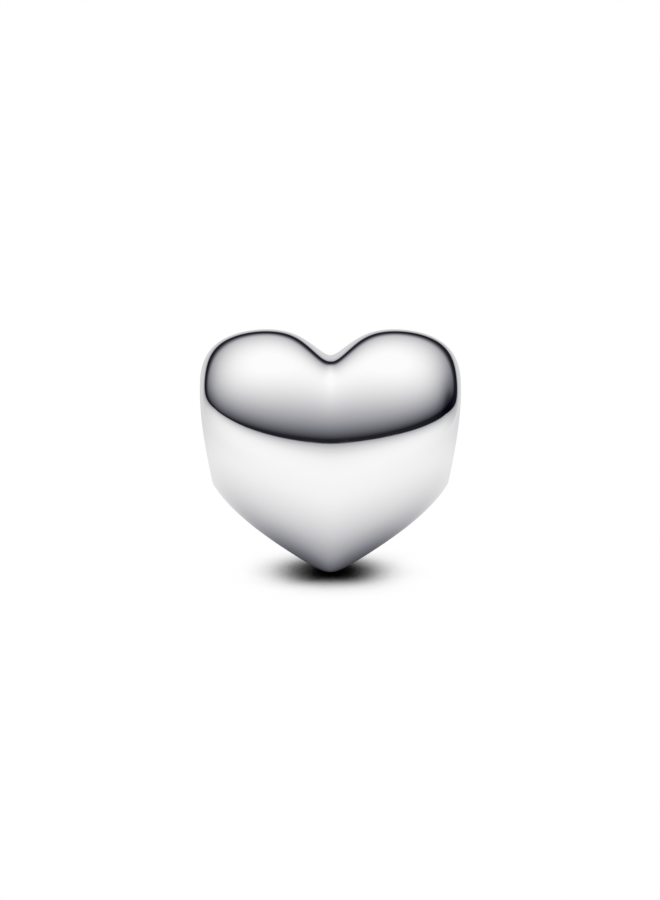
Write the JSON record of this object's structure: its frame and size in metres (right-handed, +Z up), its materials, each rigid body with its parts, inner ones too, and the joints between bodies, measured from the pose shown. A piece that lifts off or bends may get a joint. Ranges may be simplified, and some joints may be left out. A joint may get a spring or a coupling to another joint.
{
  "type": "heart charm",
  "caption": "Puffed silver heart bead, threaded on a bracelet through a bore from side to side.",
  "frame": {"origin": "middle of the bracelet bore, on its axis", "axes": "+X along the bore, to the right as seen from the front; +Y from the front face to the back; +Z up, from the tip to the lobes"},
  "size_m": [0.012, 0.0086, 0.0111],
  "materials": {
    "silver": "mirror-polished silver"
  },
  "bodies": {
    "root": {"heart_charm": "silver"}
  },
  "joints": []
}
